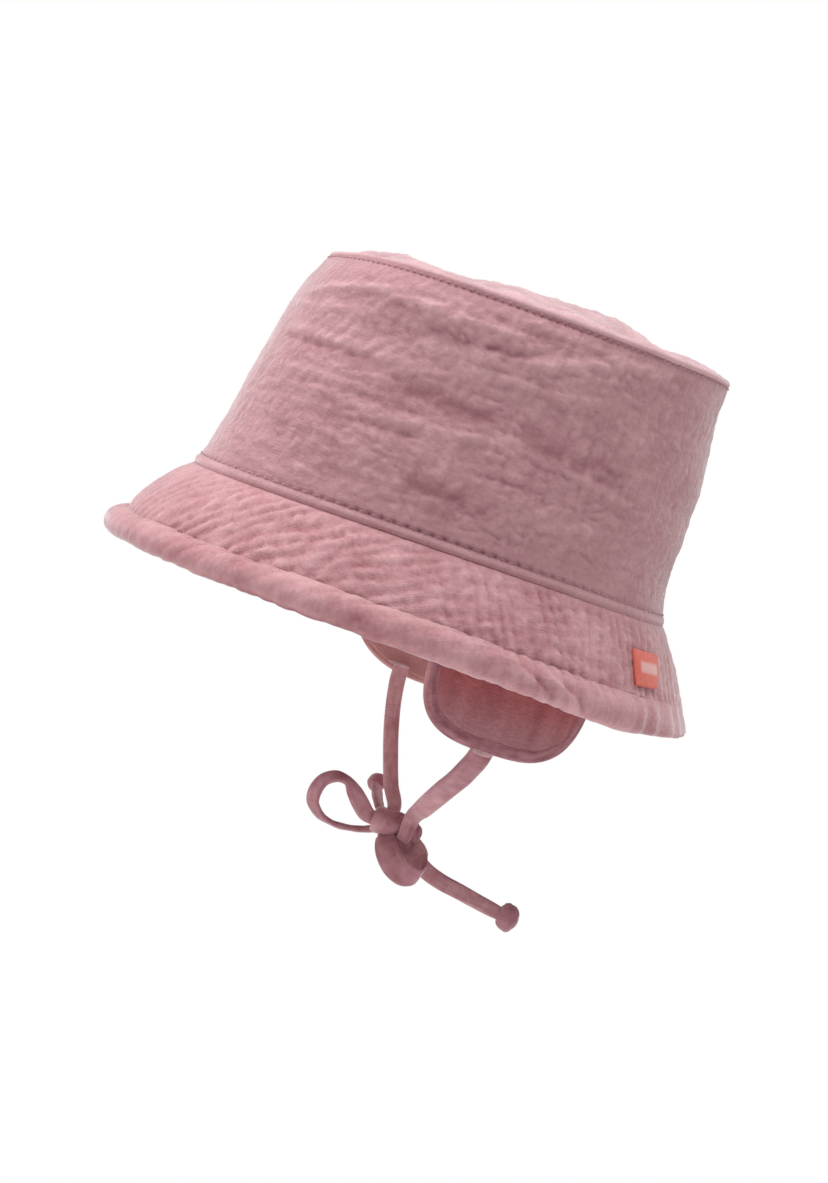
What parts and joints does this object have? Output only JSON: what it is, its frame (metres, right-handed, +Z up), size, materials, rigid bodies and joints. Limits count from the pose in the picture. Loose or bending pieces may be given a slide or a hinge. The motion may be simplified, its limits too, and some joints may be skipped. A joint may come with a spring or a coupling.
{
  "type": "child's bucket hat with ear flaps and chin ties",
  "caption": "Soft bucket hat for a small child, with a turned-up brim edge, bound ear flaps and cloth ties knotted in a bow under the chin.",
  "frame": {"origin": "middle of the base seam between crown and brim, at the height where the hat sits round the head", "axes": "+Z up through the tip of the crown, -Y to the front of the hat, +X to the wearer's left"},
  "size_m": [0.1922, 0.2162, 0.2165],
  "materials": {
    "crown_gauze": "dusty pink crinkled cotton double gauze",
    "brim_gauze": "dusty pink crinkled cotton double gauze on the bias",
    "flap_cloth": "salmon cotton gauze",
    "binding_cloth": "mauve cotton bias binding",
    "tie_cloth": "mauve crinkled cotton gauze, folded and stitched",
    "label_cloth": "plain coral woven tab"
  },
  "bodies": {
    "root": {"crown_side": "crown_gauze", "crown_top": "crown_gauze", "brim": "brim_gauze", "label": "label_cloth", "ear_flap_left": "flap_cloth", "flap_binding_left": "binding_cloth", "ear_flap_right": "flap_cloth", "flap_binding_right": "binding_cloth", "tie_left": "tie_cloth", "tie_right": "tie_cloth", "bow_loop_front": "tie_cloth", "bow_loop_back": "tie_cloth", "tie_end_long": "tie_cloth", "tie_end_short": "tie_cloth", "bow_knot": "tie_cloth", "end_knot_long": "tie_cloth", "end_knot_short": "tie_cloth"}
  },
  "joints": []
}
